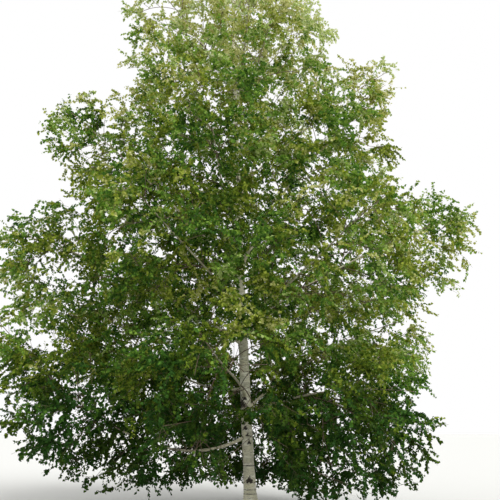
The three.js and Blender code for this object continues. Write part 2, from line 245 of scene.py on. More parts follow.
def draw(key, n):
    """Numbers from 0 to 1 drawn by whole numbers, the same each time: the two are multiplied by large odd
    numbers, joined by exclusive or, and folded onto themselves, in 32 bits."""
    mixed = (np.atleast_1d(n).astype(np.uint64) + np.uint64(1)) * LARGE_ODD[0] & WORD
    mixed = (np.atleast_1d(key).astype(np.uint64) + np.uint64(1)) ^ mixed
    mixed = mixed * LARGE_ODD[1] & WORD
    mixed = (mixed ^ mixed >> FOLDS[0]) * LARGE_ODD[2] & WORD
    return (mixed ^ mixed >> FOLDS[1]) / SPAN


def between(ends, share):
    """The value at a share of the way from the first end to the second."""
    return ends[0] + (ends[1] - ends[0]) * share


def unit(vectors):
    """Vectors made 1 long."""
    return vectors / np.maximum(np.linalg.norm(vectors, axis=-1, keepdims=True), NEARLY_NOTHING)


def curve(start, bend, end, t):
    """The curve of three points at shares t of it: (1-t)² start + 2t(1-t) bend + t² end."""
    return (1 - t) ** 2 * start + 2 * t * (1 - t) * bend + t**2 * end


def on_side(sides, angle):
    """A measure given for right, back, left and front, at an angle: each weighs as its squared cosine."""
    right, back, left, front = sides
    c, s = np.cos(angle), np.sin(angle)
    return c * c * (right if c > 0 else left) + s * s * (back if s > 0 else front)


def limb_of(tier, tier_number, i):
    """Limb i of a tier: its three guiding points, its sideways wander, its radius and its bare share."""
    key = KEYS_PER_TIER * tier_number + i
    fork_luck, turn_luck, reach_luck, tip_luck, phase_luck = draw(key, np.arange(5))
    angle = np.radians(tier["turn"] + 360 * i / tier["count"] + TURN_CHANCE * (turn_luck - 0.5))
    out = np.array([np.cos(angle), np.sin(angle), 0])
    even = 1 - i % 2
    fork = np.interp(((i * FORK_SPREAD + fork_luck * FORK_CHANCE) % 1 + even) / 2, (0, 1), tier["fork"])
    reach = on_side(tier["reach"], angle) * (REACH_LEAST + REACH_CHANCE * reach_luck) - OVERHANG
    tip = on_side(tier["tip"], angle) + TIP_CHANCE * reach * (tip_luck - 0.5)
    tip = tip + tier["stagger"] * (2 * even - 1)
    start = trunk_axis(fork)
    end = np.array([*(start + out * reach)[:2], tip])
    bend = np.array([*(start + out * reach * BOUGH_CONTROL)[:2],
                     fork + (tip - fork) * 0.5 + on_side(tier["arch"], angle)])
    return dict(name=f"{tier['name']}_{i + 1}", tier=tier["name"], key=key, start=start, bend=bend, end=end,
                side=np.array([-out[1], out[0], 0]), wander=WANDER * reach, phase=2 * np.pi * phase_luck,
                thick=BOUGH_RADIUS + BOUGH_RADIUS_PER_REACH * reach, bare=tier["bare"],
                across=tier["across"], deep=tier["deep"], branches=tier["branches"], sink=0.0)


def limb_path(limb, t):
    """Points at shares t of a limb: the curve of its three points, moved sideways by a sine of t that starts
    at nothing."""
    t = np.asarray(t, float)[..., None]
    line = curve(limb["start"], limb["bend"], limb["end"], t)
    sway = np.sin(limb["phase"] + WANDER_ANGLE * t) - np.sin(limb["phase"])
    return line + limb["side"] * limb["wander"] * (sway * np.minimum(1, WANDER_EASE * t))


def limb_radius(limb, t):
    """A taper from the full radius to a share of it at the tip."""
    return limb["thick"] * (1 - (1 - TIP_SHARE) * np.asarray(t, float) ** LIMB_TAPER_POWER)


# The summit's limb is the trunk's own tip, carried on.
leader_start = trunk_axis(TRUNK_TOP)
leader_way = unit(leader_start - trunk_axis(TRUNK_TOP - LEADER_STEP))
leader_end = leader_start + leader_way * (SUMMIT["tip"] - TRUNK_TOP)
summit_limb = dict(SUMMIT, tier="summit", start=leader_start, bend=(leader_start + leader_end) / 2,
                   end=leader_end, side=np.array([0.0, 1, 0]), wander=0.0, phase=0.0, bare=0.0,
                   thick=float(trunk_radius(TRUNK_TOP, 0)))
limbs = [limb_of(tier, k, i) for k, tier in enumerate(TIERS) for i in range(tier["count"])] + [summit_limb]

# Dark marks low on the trunk: height, bearing round it, half width and half height. Most are scars of lost
# branches and thin rings. The wider ones on its left, at 1.73 m and 2.24 m near the lowest boughs, make the
# bark dark there. The first is the black arrowhead that faces the eye.
OLD_SCARS = [
    (0.70, 273, 0.130, 0.080),
    (0.96, 268, 0.700, 0.009),
    (0.50, 262, 0.450, 0.006),
    (0.42, 280, 0.600, 0.006),
    (0.24, 266, 0.500, 0.007),
    (1.44, 288, 0.045, 0.060),
    (1.58, 275, 0.060, 0.045),
    (1.73, 256, 0.075, 0.070),
    (1.80, 232, 0.050, 0.040),
    (2.24, 226, 0.130, 0.140),
    (2.50, 260, 0.045, 0.012),
    (2.78, 305, 0.030, 0.020),
    (3.12, 252, 0.035, 0.010),
    (1.18, 205, 0.035, 0.040),
    (1.10, 30, 0.060, 0.060),
    (1.95, 120, 0.070, 0.075),
    (0.52, 150, 0.050, 0.055),
    (2.60, 85, 0.060, 0.050),
    (0.85, 95, 0.450, 0.007),
]
SCAR_EDGE = 0.2
SCAR_BASE = 3
COLLAR_ABOVE = 0.02
COLLAR_WIDTH = 0.05
COLLAR_HEIGHT = 0.07
COLLAR_SWELL = 0.012
COLLAR_TALL = 1.3

# Each ripple is a wavelength and a seed.
SWELLING = 0.022
SWELLING_STRETCH = (1, 1, 0.4)
SWELLING_RIPPLE = (0.16, 11)
DENT = 0.0011
DENT_RIPPLE = (0.034, 12)
CREASE = 0.0008
CREASE_STRETCH = (0.25, 0.25, 1)
CREASE_RIPPLE = (0.017, 13)
TORN = 0.14
TORN_RIPPLE = (0.05, 14)
FRAYED = 0.09
FRAYED_RIPPLE = (0.016, 15)
FLAKE = 0.005
FLAKE_RIPPLE = (0.02, 16)
FLAKE_SINK = 0.3


def trunk_surface(height, angle):
    """Points of the bark at heights and angles round the trunk, and how much of a dark scar each lies in. To
    the trunk's radius come long swellings, small dents, fine creases across it, a bell-shaped collar at each
    bough, and rough flakes in the scars. A scar is a triangle on its base with a ragged edge: inside it, the
    distance across is under its half width times the share of its height that is left."""
    ring = np.stack([np.cos(angle), np.sin(angle), 0 * angle], -1)
    radius = trunk_radius(height, angle)
    bark = ring * radius[..., None] + height[..., None] * np.array([0, 0, 1.0])
    radius = radius * (1 + SWELLING * ripple(bark * SWELLING_STRETCH, *SWELLING_RIPPLE))
    radius = radius + DENT * ripple(bark, *DENT_RIPPLE)
    radius = radius + CREASE * ripple(bark * CREASE_STRETCH, *CREASE_RIPPLE)
    ragged = TORN * ripple(bark, *TORN_RIPPLE) + FRAYED * ripple(bark, *FRAYED_RIPPLE)
    scar = np.zeros_like(radius)
    places = [(h, np.radians(bearing), w, half) for h, bearing, w, half in OLD_SCARS]
    for limb in limbs[:-1]:
        way = limb["bend"] - limb["start"]
        place = limb["start"][2] + COLLAR_ABOVE
        places.append((place, np.arctan2(way[1], way[0]), COLLAR_WIDTH, COLLAR_HEIGHT))
    for number, (place, bearing, half_width, half_height) in enumerate(places):
        across = np.abs((angle - bearing + np.pi) % (2 * np.pi) - np.pi) * radius
        share = (height - place + half_height) / (2 * half_height)
        depth = np.minimum(1 - share - across / half_width, SCAR_BASE * share)
        scar = np.maximum(scar, np.clip((depth + ragged) / SCAR_EDGE, 0, 1))
        if number >= len(OLD_SCARS):
            far = ((height - place) / (COLLAR_TALL * COLLAR_WIDTH)) ** 2 + (across / COLLAR_WIDTH) ** 2
            radius = radius + COLLAR_SWELL * np.exp(-far)
    radius = radius + FLAKE * scar * (ripple(bark, *FLAKE_RIPPLE) - FLAKE_SINK)
    return trunk_axis(height) + ring * radius[..., None], scar


def tube_triangles(tubes, rings, sides):
    """Triangles of closed tubes whose points lie ring by ring, each tube followed by its two end poles."""
    ring, side = np.meshgrid(np.arange(rings - 1), np.arange(sides), indexing="ij")
    a = ring * sides + side
    b = ring * sides + (side + 1) % sides
    wall = np.concatenate([np.stack([a, b, b + sides], -1), np.stack([a, b + sides, a + sides], -1)])
    edge = np.arange(sides)
    after = (edge + 1) % sides
    last = (rings - 1) * sides
    foot = np.stack([after, edge, 0 * edge + rings * sides], -1)
    tip = np.stack([last + edge, last + after, 0 * edge + rings * sides + 1], -1)
    one = np.concatenate([wall.reshape(-1, 3), foot, tip])
    return (one[None] + np.arange(tubes)[:, None, None] * (rings * sides + 2)).reshape(-1, 3)


def point_values(piece, name, values):
    """Keeps a value for each point of a piece, for its material to read."""
    kept = piece.data.attributes.new(name, "FLOAT", "POINT")
    kept.data.foreach_set("value", np.asarray(values, np.float32).ravel())


heights = np.concatenate([np.arange(0, FINE_TOP, FINE_STEP), np.arange(FINE_TOP, TRUNK_TOP, COARSE_STEP)])
heights = np.append(heights, TRUNK_TOP)
angles = np.arange(TRUNK_SIDES) * 2 * np.pi / TRUNK_SIDES
trunk_points, trunk_scar = trunk_surface(*np.meshgrid(heights, angles, indexing="ij"))
poles = trunk_axis(heights[[0, -1]])
trunk = lay_mesh("trunk_bark", np.concatenate([trunk_points.reshape(-1, 3), poles]),
                 tube_triangles(1, len(heights), TRUNK_SIDES))
trunk.data.shade_smooth()
point_values(trunk, "scar", np.append(trunk_scar, (0, 0)))


def node(tree, kind, inputs=(), **settings):
    """A shader node with its settings, and its inputs by name or number: values, or sockets to link."""
    made = tree.nodes.new(kind)
    for name, value in settings.items():
        setattr(made, name, value)
    for name, value in dict(inputs).items():
        if isinstance(value, bpy.types.NodeSocket):
            tree.links.new(value, made.inputs[name])
        else:
            made.inputs[name].default_value = value
    return made


def blotches(tree, stretch, scale, low, high, detail=3.0):
    """A mask from 0 to 1: noise on the object's own coordinates, stretched, and cut between low and high."""
    place = node(tree, "ShaderNodeTexCoord").outputs["Object"]
    turned = node(tree, "ShaderNodeMapping", {"Vector": place, "Scale": stretch}).outputs["Vector"]
    noise = node(tree, "ShaderNodeTexNoise", {"Vector": turned, "Scale": scale, "Detail": detail})
    span = {"From Min": low, "From Max": high}
    return node(tree, "ShaderNodeMapRange", {"Value": noise.outputs["Fac"], **span}).outputs["Result"]


def blend_colours(tree, mask, first, second):
    """The first colour where the mask is 0 and the second where it is 1."""
    mix = node(tree, "ShaderNodeMix", {0: mask}, data_type="RGBA")
    for socket, colour in ((mix.inputs["A"], first), (mix.inputs["B"], second)):
        if isinstance(colour, bpy.types.NodeSocket):
            tree.links.new(colour, socket)
        else:
            socket.default_value = (*colour, 1)
    return mix.outputs["Result"]


def add_relief(tree, shader, height, strength, distance):
    """Gives a surface fine relief that follows a mask."""
    bump = node(tree, "ShaderNodeBump", {"Height": height, "Strength": strength, "Distance": distance})
    tree.links.new(bump.outputs["Normal"], shader.inputs["Normal"])


CREAM = (0.72, 0.69, 0.51)
GREY_CREAM = (0.50, 0.485, 0.37)
CHALK = (0.83, 0.81, 0.68)
LENTICEL = (0.16, 0.13, 0.10)
SCAR = (0.045, 0.037, 0.03)
GREY_BLOTCHES = dict(stretch=(1, 1, 0.45), scale=5.0, low=0.42, high=0.68)
CHALK_BLOTCHES = dict(stretch=(1, 1, 5), scale=3.2, low=0.52, high=0.66)
LENTICEL_BLOTCHES = dict(stretch=(1, 1, 11), scale=13.0, low=0.60, high=0.66, detail=2.0)
PAPER_BLOTCHES = dict(stretch=(1, 1, 6), scale=24.0, low=0.3, high=0.7)
BARK_ROUGHNESS = 0.62
SCAR_ROUGHNESS = 0.95
BARK_RELIEF = dict(strength=0.5, distance=0.002)

birch_bark, tree, shader = new_finish("birch_bark")
colour = blend_colours(tree, blotches(tree, **GREY_BLOTCHES), CREAM, GREY_CREAM)
colour = blend_colours(tree, blotches(tree, **CHALK_BLOTCHES), colour, CHALK)
lenticels = blotches(tree, **LENTICEL_BLOTCHES)
colour = blend_colours(tree, lenticels, colour, LENTICEL)
scar_mask = node(tree, "ShaderNodeAttribute", attribute_name="scar").outputs["Fac"]
colour = blend_colours(tree, scar_mask, colour, SCAR)
tree.links.new(colour, shader.inputs["Base Color"])
rough = node(tree, "ShaderNodeMapRange", {"Value": scar_mask, "To Min": BARK_ROUGHNESS,
                                          "To Max": SCAR_ROUGHNESS})
tree.links.new(rough.outputs["Result"], shader.inputs["Roughness"])
paper = blotches(tree, **PAPER_BLOTCHES)
raised = node(tree, "ShaderNodeMath", {0: paper, 1: lenticels}, operation="ADD")
add_relief(tree, shader, raised.outputs["Value"], **BARK_RELIEF)
trunk.data.materials.append(birch_bark)
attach(trunk, "root")
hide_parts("trunk")


# Boughs. Slender tapering limbs that leave the trunk at a collar, grow out and up, and run on as the stem of
# their mass of foliage. Their bark is a thin grey tan where they are thick, and brown at the tips.
BOUGH_SIDES = 12
BOUGH_RINGS = 46
RING_CROWDING = 1.15
BOUGH_FLARE = 0.35
BOUGH_FLARE_LENGTH = 0.14
BOUGH_SWELLING = 0.06
BOUGH_SWELLING_RIPPLE = (0.35, 21)
STEEP = 0.8


def circles(ahead, fixed, sides):
    """Circles of radius 1 round ways ahead (lines x places x 3), as corners: cos a across - sin a up, where
    across is square to the way ahead and to a fixed line, and up to both."""
    across = unit(np.cross(ahead, fixed))
    up = np.cross(across, ahead)
    a = np.arange(sides) * 2 * np.pi / sides
    return np.cos(a)[:, None] * across[:, :, None] - np.sin(a)[:, None] * up[:, :, None]


def tubes(centres, radii, sides):
    """Points of closed tubes: centres is tubes x rings x 3 and radii is tubes x rings. The rings are circles
    whose fixed line is up and down, or, for a steep tube, level. The tube's first and last centres are its
    end poles."""
    ahead = unit(np.gradient(centres, axis=1))
    mean = unit(centres[:, -1] - centres[:, 0])
    fixed = np.where(np.abs(mean[:, 2:]) > STEEP, np.array([1.0, 0, 0]), np.array([0, 0, 1.0]))
    points = centres[:, :, None] + radii[:, :, None, None] * circles(ahead, fixed[:, None], sides)
    count = len(centres)
    return np.concatenate([points.reshape(count, -1, 3), centres[:, :1], centres[:, -1:]], 1)


shares = np.linspace(0, 1, BOUGH_RINGS) ** RING_CROWDING
bough_lines = np.stack([limb_path(limb, shares) for limb in limbs])
bough_radii = np.stack([limb_radius(limb, shares) for limb in limbs])
from_trunk = np.linalg.norm(bough_lines - bough_lines[:, :1], axis=-1)
bough_radii *= 1 + BOUGH_FLARE * np.exp(-((from_trunk / BOUGH_FLARE_LENGTH) ** 2))
bough_radii *= 1 + BOUGH_SWELLING * ripple(bough_lines, *BOUGH_SWELLING_RIPPLE)
bough_points = tubes(bough_lines, bough_radii, BOUGH_SIDES).reshape(-1, 3)
boughs = lay_mesh("bough_bark", bough_points, tube_triangles(len(limbs), BOUGH_RINGS, BOUGH_SIDES))
boughs.data.shade_smooth()
girth = np.repeat(bough_radii, BOUGH_SIDES, axis=1)
point_values(boughs, "girth", np.concatenate([girth, bough_radii[:, :1], bough_radii[:, -1:]], 1))

PALE_BARK = (0.62, 0.59, 0.43)
TAN_BARK = (0.44, 0.405, 0.27)
BROWN_BARK = (0.15, 0.105, 0.068)
THICK_LIMB = 0.018
THIN_LIMB = 0.006
TAN_BLOTCHES = dict(stretch=(1, 1, 1), scale=11.0, low=0.4, high=0.65)
SPECKS = dict(stretch=(1, 1, 1), scale=60.0, low=0.62, high=0.68, detail=2.0)
LIMB_BLOTCHES = dict(stretch=(1, 1, 1), scale=90.0, low=0.3, high=0.7)
LIMB_ROUGHNESS = 0.8
LIMB_RELIEF = dict(strength=0.4, distance=0.001)

limb_bark, tree, shader = new_finish("limb_bark")
girth_socket = node(tree, "ShaderNodeAttribute", attribute_name="girth").outputs["Fac"]
thickness = node(tree, "ShaderNodeMapRange", {"Value": girth_socket, "From Min": THIN_LIMB,
                                              "From Max": THICK_LIMB})
tan = blend_colours(tree, blotches(tree, **TAN_BLOTCHES), PALE_BARK, TAN_BARK)
colour = blend_colours(tree, thickness.outputs["Result"], BROWN_BARK, tan)
colour = blend_colours(tree, blotches(tree, **SPECKS), colour, LENTICEL)
tree.links.new(colour, shader.inputs["Base Color"])
shader.inputs["Roughness"].default_value = LIMB_ROUGHNESS
add_relief(tree, shader, blotches(tree, **LIMB_BLOTCHES), **LIMB_RELIEF)
boughs.data.materials.append(limb_bark)
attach(boughs, "root")
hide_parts(*[f"bough_{limb['name']}" for limb in limbs if limb["bare"] > 0])


# Twigs. Each bough's stem bears branches, the branches bear twigs and finer twigs, and these bear thin brown
# shoots that hang a little. Each mass keeps to an egg-shaped space of its own round its stem, and fills it.
GOLDEN_ANGLE = np.pi * (3 - np.sqrt(5))


def egg_of(limb):
    """The space of a mass: its middle, its three axes (outward along the limb, sideways, and up), and its
    half widths. It lies round the limb's leafy part, a little below it and past its end."""
    near, far, middle = limb_path(limb, [limb["bare"], 1, (1 + limb["bare"]) / 2])
    outward = unit(far - near)
    half = np.linalg.norm(far - near) / 2 + OVERHANG / 2
    centre = (1 - BEND_SHARE) * (near + far) / 2 + BEND_SHARE * middle + outward * OVERHANG / 2
    up = unit(np.cross(outward, limb["side"]))
    centre[2] -= HANG * limb["deep"] * (1 - abs(outward[2])) + limb["sink"]
    return centre, np.stack([outward, limb["side"], up]), np.array([half, limb["across"], limb["deep"]])


egg_centres, egg_axes, egg_halves = (np.stack(values) for values in zip(*map(egg_of, limbs)))


def outness(points):
    """How far out of each mass's space points are (points x masses), under 1 inside it: the length of the
    way from the egg's middle, measured along its axes in half widths."""
    away = points[:, None] - egg_centres[None]
    return np.linalg.norm(np.einsum("nmk,mjk->nmj", away, egg_axes) / egg_halves, axis=-1)


# Two low boughs on the left show from the eye, between two shares of their length, and no leaves hang before
# them within a hand's breadth.
SHOWN = [("skirt_4", 0.0, 0.38), ("skirt_3", 0.22, 0.42)]
SHOWN_HALF = 0.085
SHOWN_RAGGED = 0.5
SHOWN_RIPPLE = (0.35, 35)
SHOWN_POINTS = 24
shown_paths = [limb_path(limb, np.linspace(last, first, SHOWN_POINTS))
               for name, first, last in SHOWN for limb in limbs if limb["name"] == name]


def seen(points):
    """How deep points lie before the eye, and how far across and up, both divided by the depth."""
    depth = points[:, 1] - EYE[1]
    return depth, points[:, 0] / depth, (points[:, 2] - EYE[2]) / depth


def hides_bough(points):
    """True for points that hang before a bough that shows: the bough's height, as seen, is read off at the
    point's place across, and the two heights are compared."""
    depth, across, up = seen(points)
    hides = np.zeros(len(points), bool)
    for path in shown_paths:
        far, along, high = seen(path)
        line = np.interp(across, along, high, left=np.inf, right=np.inf)
        half = SHOWN_HALF * (1 + SHOWN_RAGGED * ripple(points, *SHOWN_RIPPLE))
        before = depth < np.interp(across, along, far)
        hides |= before & (np.abs(up - line) * depth <= half)
    return hides


# The trunk's foot shows from the front: nothing hangs before it below a height that falls towards the eye,
# but for one tuft of leaves. Nor do leaves hang near the ground.
WINDOW_HALF = 0.22
WINDOW_TOP = 3.45
WINDOW_SLOPE = 0.12
TUFT_HEIGHT = 1.9
TUFT_HALF = 0.16
GROUND_CLEARANCE = 0.45
GROUND_RAGGED = 0.1
GROUND_RIPPLE = (0.7, 32)
TRUNK_CLEARANCE = 0.03


def is_free(points, mass):
    """True for points that keep to a mass's own space, to the reach of the solids, off the trunk and the
    ground, out of the gap before the trunk's foot, and from before the boughs that show."""
    outs = outness(points)
    own = outs[:, mass].copy()
    outs[:, mass] = np.inf
    x, y, z = points.T
    aside = np.abs(x - trunk_axis(z)[:, 0])
    hides_foot = (y < 0) & (aside < WINDOW_HALF) & (z < WINDOW_TOP + WINDOW_SLOPE * y)
    hides_foot &= np.abs(z - TUFT_HEIGHT) > TUFT_HALF
    off_axis = np.linalg.norm(points[:, :2] - trunk_axis(z)[:, :2], axis=1)
    off_trunk = off_axis > trunk_radius(z, 0) + TRUNK_CLEARANCE
    in_reach = np.all((points > solids_low) & (points < solids_high), axis=1)
    off_ground = z > GROUND_CLEARANCE + GROUND_RAGGED * ripple(points, *GROUND_RIPPLE)
    in_the_way = hides_foot | hides_bough(points)
    return (own < 1) & (outs.min(1) > own) & off_trunk & in_reach & off_ground & ~in_the_way


# Each use of chance has a key of its own, which is added to the mass's, or a run of numbers under it.
TURN_NUMBER = 10
REACH_NUMBERS = 1000
BRANCH_KEY = 0
TWIG_KEY = 40
SCATTER_KEY = 60
CURTAIN_KEY = 80


def egg_points(mass, count, reach, key):
    """Places in a mass's space, spread evenly by the golden angle: the level falls from 1 to -1 in even
    steps along the outward axis, and the distance from the middle is drawn between two shares of the half
    width."""
    k = np.arange(count)
    level = 1 - (2 * k + 1) / count
    turn = 2 * np.pi * draw(limbs[mass]["key"], TURN_NUMBER)[0] + k * GOLDEN_ANGLE
    across = np.sqrt(1 - level**2)
    way = np.stack([level, across * np.cos(turn), across * np.sin(turn)], -1)
    share = between(reach, np.sqrt(draw(limbs[mass]["key"] + key, REACH_NUMBERS + k)))
    return egg_centres[mass] + (way * share[:, None] * egg_halves[mass]) @ egg_axes[mass]


def curve_points(start, bend, end, rings):
    """Points at even shares of many curves of three points."""
    return curve(start[:, None], bend[:, None], end[:, None], np.linspace(0, 1, rings)[:, None])


LATE_START = 0.55
BEND_PLACE = 0.45
SET_OFF = 0.14
BOW = 0.12


def grow(skeleton, targets, rings):
    """Curves from the wood that is there to each target. One leaves the wood where the distance to its
    target, plus a share of the way that the sap has come, is least. It sets off along the wood and bows
    upwards."""
    wood, ahead, travel, girth_there = skeleton
    far = np.linalg.norm(targets[:, None] - wood[None], axis=-1)
    best = np.argmin(far + LATE_START * travel, axis=1)
    start, far = wood[best], far[np.arange(len(targets)), best][:, None]
    bow = far * (SET_OFF * ahead[best] + BOW * np.array([0, 0, 1.0]))
    bend = start + BEND_PLACE * (targets - start) + bow
    return curve_points(start, bend, targets, rings), travel[best], girth_there[best]


def joined(skeleton, lines, radii, travel):
    """The skeleton with new wood added: points, the way ahead at each, how far the sap comes, and radii."""
    step = np.linalg.norm(np.diff(lines, axis=1, prepend=lines[:, :1]), axis=-1)
    new = (lines, unit(np.gradient(lines, axis=1)), travel[:, None] + np.cumsum(step, 1), radii)
    flat = [part.reshape(-1, 3) if part.ndim == 3 else part.ravel() for part in new]
    return [np.concatenate(pair) for pair in zip(skeleton, flat)]


# Branches end on an inner egg. They and the twigs are thinner, by a share, than the wood that they leave.
# Twigs are counted by the cubic metre, and a tier has more or fewer by its fullness. None grow in the
# hollows of a slow ripple, so that the crown has clumps and gaps. Before the trunk, between two heights,
# more of them hang like a curtain.
BRANCH_REACH = 0.6
BRANCH_SHARE = 0.62
TWIG_SHARE = 0.7
BRANCH_RADIUS = 0.014
BRANCH_TIP_RADIUS = 0.006
BRANCH_RINGS = 8
BRANCH_SIDES = 6
LEVELS = [
    dict(per_cubic_metre=1.8, reach=(0.45, 0.80), radius=(0.0085, 0.0045), rings=6, sides=5),
    dict(per_cubic_metre=6.8, reach=(0.30, 0.97), radius=(0.0045, 0.0022), rings=4, sides=3),
]
FULLNESS = {"skirt": 1.32, "lower": 1.0, "middle": 0.95, "upper": 0.95, "high": 1.1, "crest": 1.25,
            "summit": 1.2}
HOLLOW_RIPPLE = (1.5, 31)
HOLLOW_LEVEL = -0.8
SCATTER = 0.4
CURTAIN_HALF = 0.42
CURTAIN_FOOT = 3.8
CURTAIN_TOP = 6.8
CURTAIN_FILL = 0.8
CURTAIN_LEAST = 7
STEM_START = 0.03
STEM_POINTS = 40


def twig_targets(mass, number):
    """Where a mass's twigs of one level end: an even spread over its egg, each moved a little by chance, and
    the curtain before the trunk."""
    limb, level = limbs[mass], LEVELS[number]
    volume = 4 / 3 * np.pi * np.prod(egg_halves[mass])
    count = int(level["per_cubic_metre"] * FULLNESS[limb["tier"]] * volume)
    spread = egg_points(mass, count, level["reach"], TWIG_KEY + number)
    chance = draw(limb["key"] + SCATTER_KEY + number, np.arange(3 * count)).reshape(-1, 3)
    spread = spread + SCATTER * (chance - 0.5)
    spread = spread[ripple(spread, *HOLLOW_RIPPLE) > HOLLOW_LEVEL]
    count = int(CURTAIN_FILL * count) + CURTAIN_LEAST
    curtain = egg_points(mass, count, level["reach"], CURTAIN_KEY + number)
    x, y, z = curtain.T
    before_trunk = (y < 0) & (np.abs(x - trunk_axis(z)[:, 0]) < CURTAIN_HALF)
    before_trunk &= (z > CURTAIN_FOOT) & (z < CURTAIN_TOP)
    targets = np.concatenate([spread, curtain[before_trunk]])
    return targets[is_free(targets, mass)]


def narrowed(foot, tip, rings):
    """Radii of wood that narrows evenly from its foot to its tip, unless it is thinner than that already."""
    return foot + (np.minimum(foot, tip) - foot) * np.linspace(0, 1, rings)


def wood_of(mass):
    """The wood of a mass but for its shoots, as a list of (curves, radii, sides), and the curves of its
    finest twigs."""
    limb = limbs[mass]
    t = np.linspace(max(limb["bare"], STEM_START), 1, STEM_POINTS)
    stem = limb_path(limb, t)
    skeleton = joined([np.empty((0, 3)), np.empty((0, 3)), np.empty(0), np.empty(0)],
                      stem[None], limb_radius(limb, t)[None], np.zeros(1))
    targets = egg_points(mass, limb["branches"], (BRANCH_REACH, BRANCH_REACH), BRANCH_KEY)
    lines, travel, foot = grow(skeleton, targets, BRANCH_RINGS)
    foot = np.minimum(BRANCH_RADIUS, BRANCH_SHARE * foot)[:, None]
    radii = narrowed(foot, BRANCH_TIP_RADIUS, BRANCH_RINGS)
    made = [(lines, radii, BRANCH_SIDES)]
    skeleton = joined(skeleton, lines, radii, travel)
    for number, level in enumerate(LEVELS):
        lines, travel, foot = grow(skeleton, twig_targets(mass, number), level["rings"])
        foot = np.minimum(level["radius"][0], TWIG_SHARE * foot)[:, None]
        radii = narrowed(foot, level["radius"][1], level["rings"])
        made.append((lines, radii, level["sides"]))
        skeleton = joined(skeleton, lines, radii, travel)
    return made, lines


# Shoots are a twig's last wood, a few hand's breadths long. They hang over more or less by chance.
SHOOTS = 8
SHOOT_KEY = 7000
SHOOT_DRAWS = 4
SHOOT_TURN_KEY = 8000
SHOOT_FIRST = 0.25
SHOOT_STAGGER = 0.6
SHOOT_LENGTH = (0.20, 0.52)
SHOOT_RADIUS = 0.002
SHOOT_HALFWAY = 0.75
SHOOT_RINGS = 3
SHOOT_SIDES = 3
SHOOT_ALONG = 0.3
SHOOT_OUT = 0.3
SHOOT_SPREAD = 0.75
SHOOT_CHANCE = 0.8
SHOOT_DROOP = (0.1, 1.4)

# A line a little off the upright, which hardly any shoot runs along, to tell across from.
NEARLY_UP = np.array([0.05, 0.1, 1.0])


def shoots_of(mass, twigs):
    """Thin shoots along the outer part of each twig. They leave by the golden angle round it, lean on along
    it and out of the mass, and droop. Returns their curves and the number of each one's twig."""
    count, rings = twigs.shape[:2]
    j = np.arange(SHOOTS)
    key = limbs[mass]["key"]
    chance = draw(key + SHOOT_KEY, np.arange(count * SHOOTS * SHOOT_DRAWS))
    chance = chance.reshape(count, SHOOTS, SHOOT_DRAWS)
    place = (1 - SHOOT_FIRST) * (j + SHOOT_STAGGER * chance[..., 0]) / (SHOOTS - 1 + SHOOT_STAGGER)
    along = (SHOOT_FIRST + place) * (rings - 1)
    step = np.minimum(along.astype(int), rings - 2)
    inside = (along - step)[..., None]
    row = np.arange(count)[:, None]
    start = twigs[row, step] * (1 - inside) + twigs[row, step + 1] * inside
    ahead = unit(twigs[row, step + 1] - twigs[row, step])
    across = unit(np.cross(ahead, NEARLY_UP))
    up = np.cross(across, ahead)
    round_it = j * GOLDEN_ANGLE + 2 * np.pi * draw(key + SHOOT_TURN_KEY, np.arange(count))[:, None]
    outward = unit(start - egg_centres[mass])
    aside = np.cos(round_it)[..., None] * across + np.sin(round_it)[..., None] * up
    way = SHOOT_ALONG * ahead + SHOOT_OUT * outward + SHOOT_SPREAD * aside
    way = unit(way + SHOOT_CHANCE * (chance[..., 1:] - 0.5))
    length = between(SHOOT_LENGTH, chance[..., 3])[..., None]
    droop = between(SHOOT_DROOP, chance[..., 1])[..., None]
    bend = start + BEND_PLACE * length * way
    end = bend + (1 - BEND_PLACE) * length * unit(way + droop * np.array([0, 0, -1.0]))
    flat = [part.reshape(-1, 3) for part in (start, bend, end)]
    return curve_points(*flat, SHOOT_RINGS), np.repeat(np.arange(count), SHOOTS)


# Openings that sky shows through lie where a quick ripple is low: more so out at the rim, whose level is
# given for the left and the right, and in a band of heights between the two lowest tiers.
OPENING_RIPPLE = (0.55, 176)
OPENING_HEART = -2.1
OPENING_RIM = (-2.0, -1.15)
RIM_SIDES = (-4, 4)
BAND_HEIGHT = 4.1
BAND_HALF = 0.75
BAND_RISE = 0.75


def beside_opening(points):
    """How far points are from an opening: the ripple's height above the level, under 0 inside one."""
    x, y, z = points.T
    away = np.minimum(np.hypot(x, y) / solids_high[0], 1)
    level = OPENING_HEART + away * (np.interp(x, RIM_SIDES, OPENING_RIM) - OPENING_HEART)
    level = level + BAND_RISE * np.exp(-(((z - BAND_HEIGHT) / BAND_HALF) ** 2)) * np.minimum(np.abs(x), 1)
    return ripple(points, *OPENING_RIPPLE) - level


def spikes(lines):
    """Points and triangles of three-sided shoots that run to a point: on each of their curves, a triangle of
    corners round the first point and the second, and the last point alone. The foot is closed."""
    circle = circles(unit(lines[:, 1:] - lines[:, :-1]), NEARLY_UP, SHOOT_SIDES)
    girths = SHOOT_RADIUS * np.array([1, SHOOT_HALFWAY])
    rings = lines[:, :2, None] + girths[:, None, None] * circle
    tip = 2 * SHOOT_SIDES
    points = np.concatenate([rings.reshape(-1, tip, 3), lines[:, 2:]], 1)
    one = [(1, 0, 2)]
    for k in range(SHOOT_SIDES):
        after = (k + 1) % SHOOT_SIDES
        above, above_after = k + SHOOT_SIDES, after + SHOOT_SIDES
        one += [(k, after, above_after), (k, above_after, above), (above, above_after, tip)]
    triangles = np.array(one)[None] + (tip + 1) * np.arange(len(lines))[:, None, None]
    return points.reshape(-1, 3), triangles.reshape(-1, 3)


def join_tubes(batches):
    """Points and triangles of tubes of several kinds, from a list of (curves, radii, sides)."""
    points, triangles, total = [], [], 0
    for lines, radii, sides in batches:
        made = tubes(lines, radii, sides).reshape(-1, 3)
        points.append(made)
        triangles.append(tube_triangles(len(lines), lines.shape[1], sides) + total)
        total += len(made)
    return np.concatenate(points), np.concatenate(triangles)


